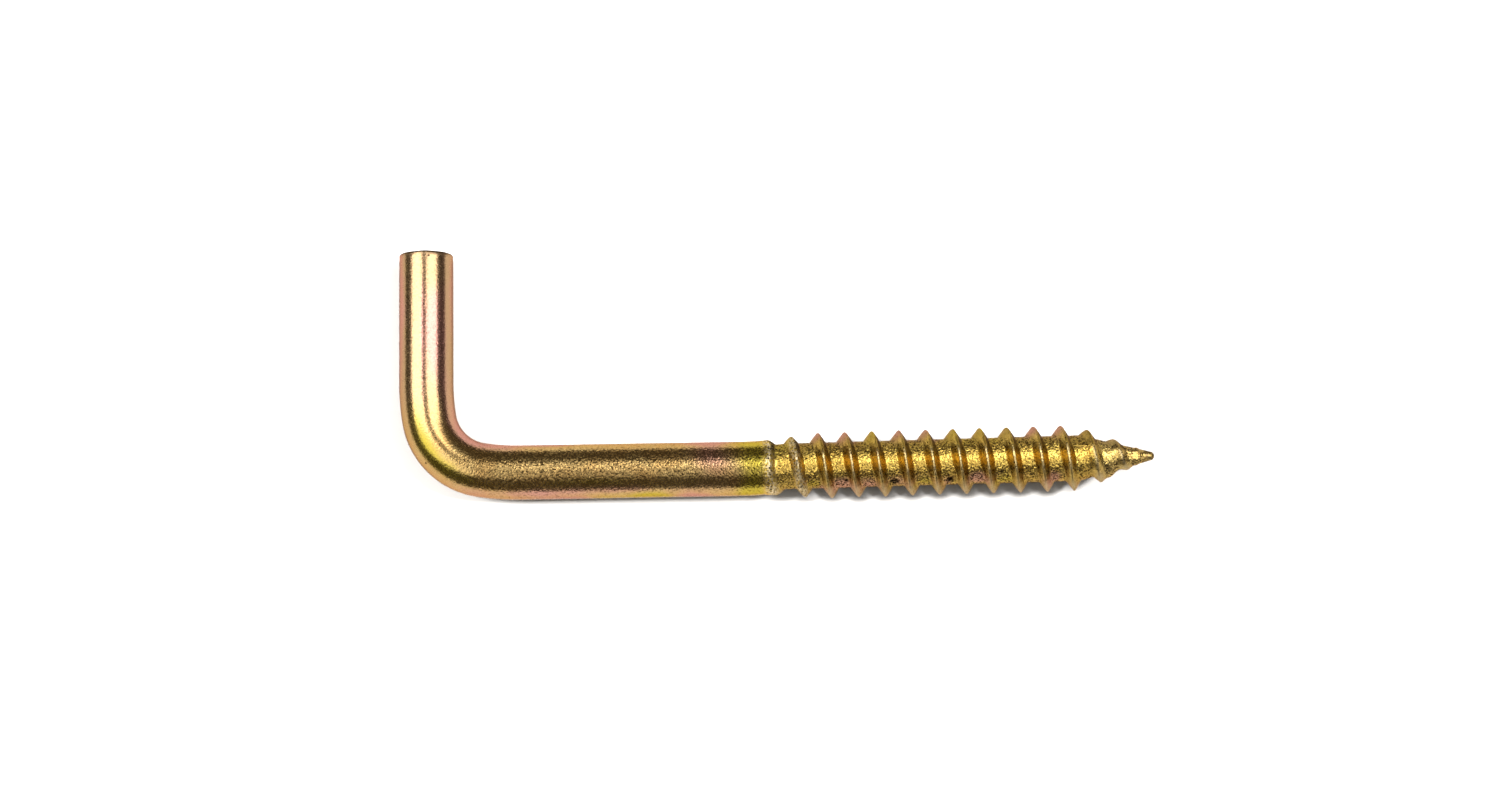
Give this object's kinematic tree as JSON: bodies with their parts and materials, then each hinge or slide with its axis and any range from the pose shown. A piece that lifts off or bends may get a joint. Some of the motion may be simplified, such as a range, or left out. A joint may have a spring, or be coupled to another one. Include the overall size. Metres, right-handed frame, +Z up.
{
  "type": "l-shaped screw hook",
  "caption": "L-shaped screw hook of yellow-zinc-plated steel wire: a straight arm bent square from a plain shank that ends in a rolled wood-screw thread and a point.",
  "frame": {"origin": "middle of the bounding box at its base, on the surface that the hook lies on", "axes": "+X along the shank to the point, +Y along the arm to its cut end, +Z up from the surface"},
  "size_m": [0.07, 0.0234, 0.0062],
  "materials": {
    "plated_steel": "yellow chromate over zinc: semi-gloss gold with pink and green tints, grainy on the shank and worn bare on the thread's crests"
  },
  "bodies": {
    "root": {"screw_hook": "plated_steel"}
  },
  "joints": []
}
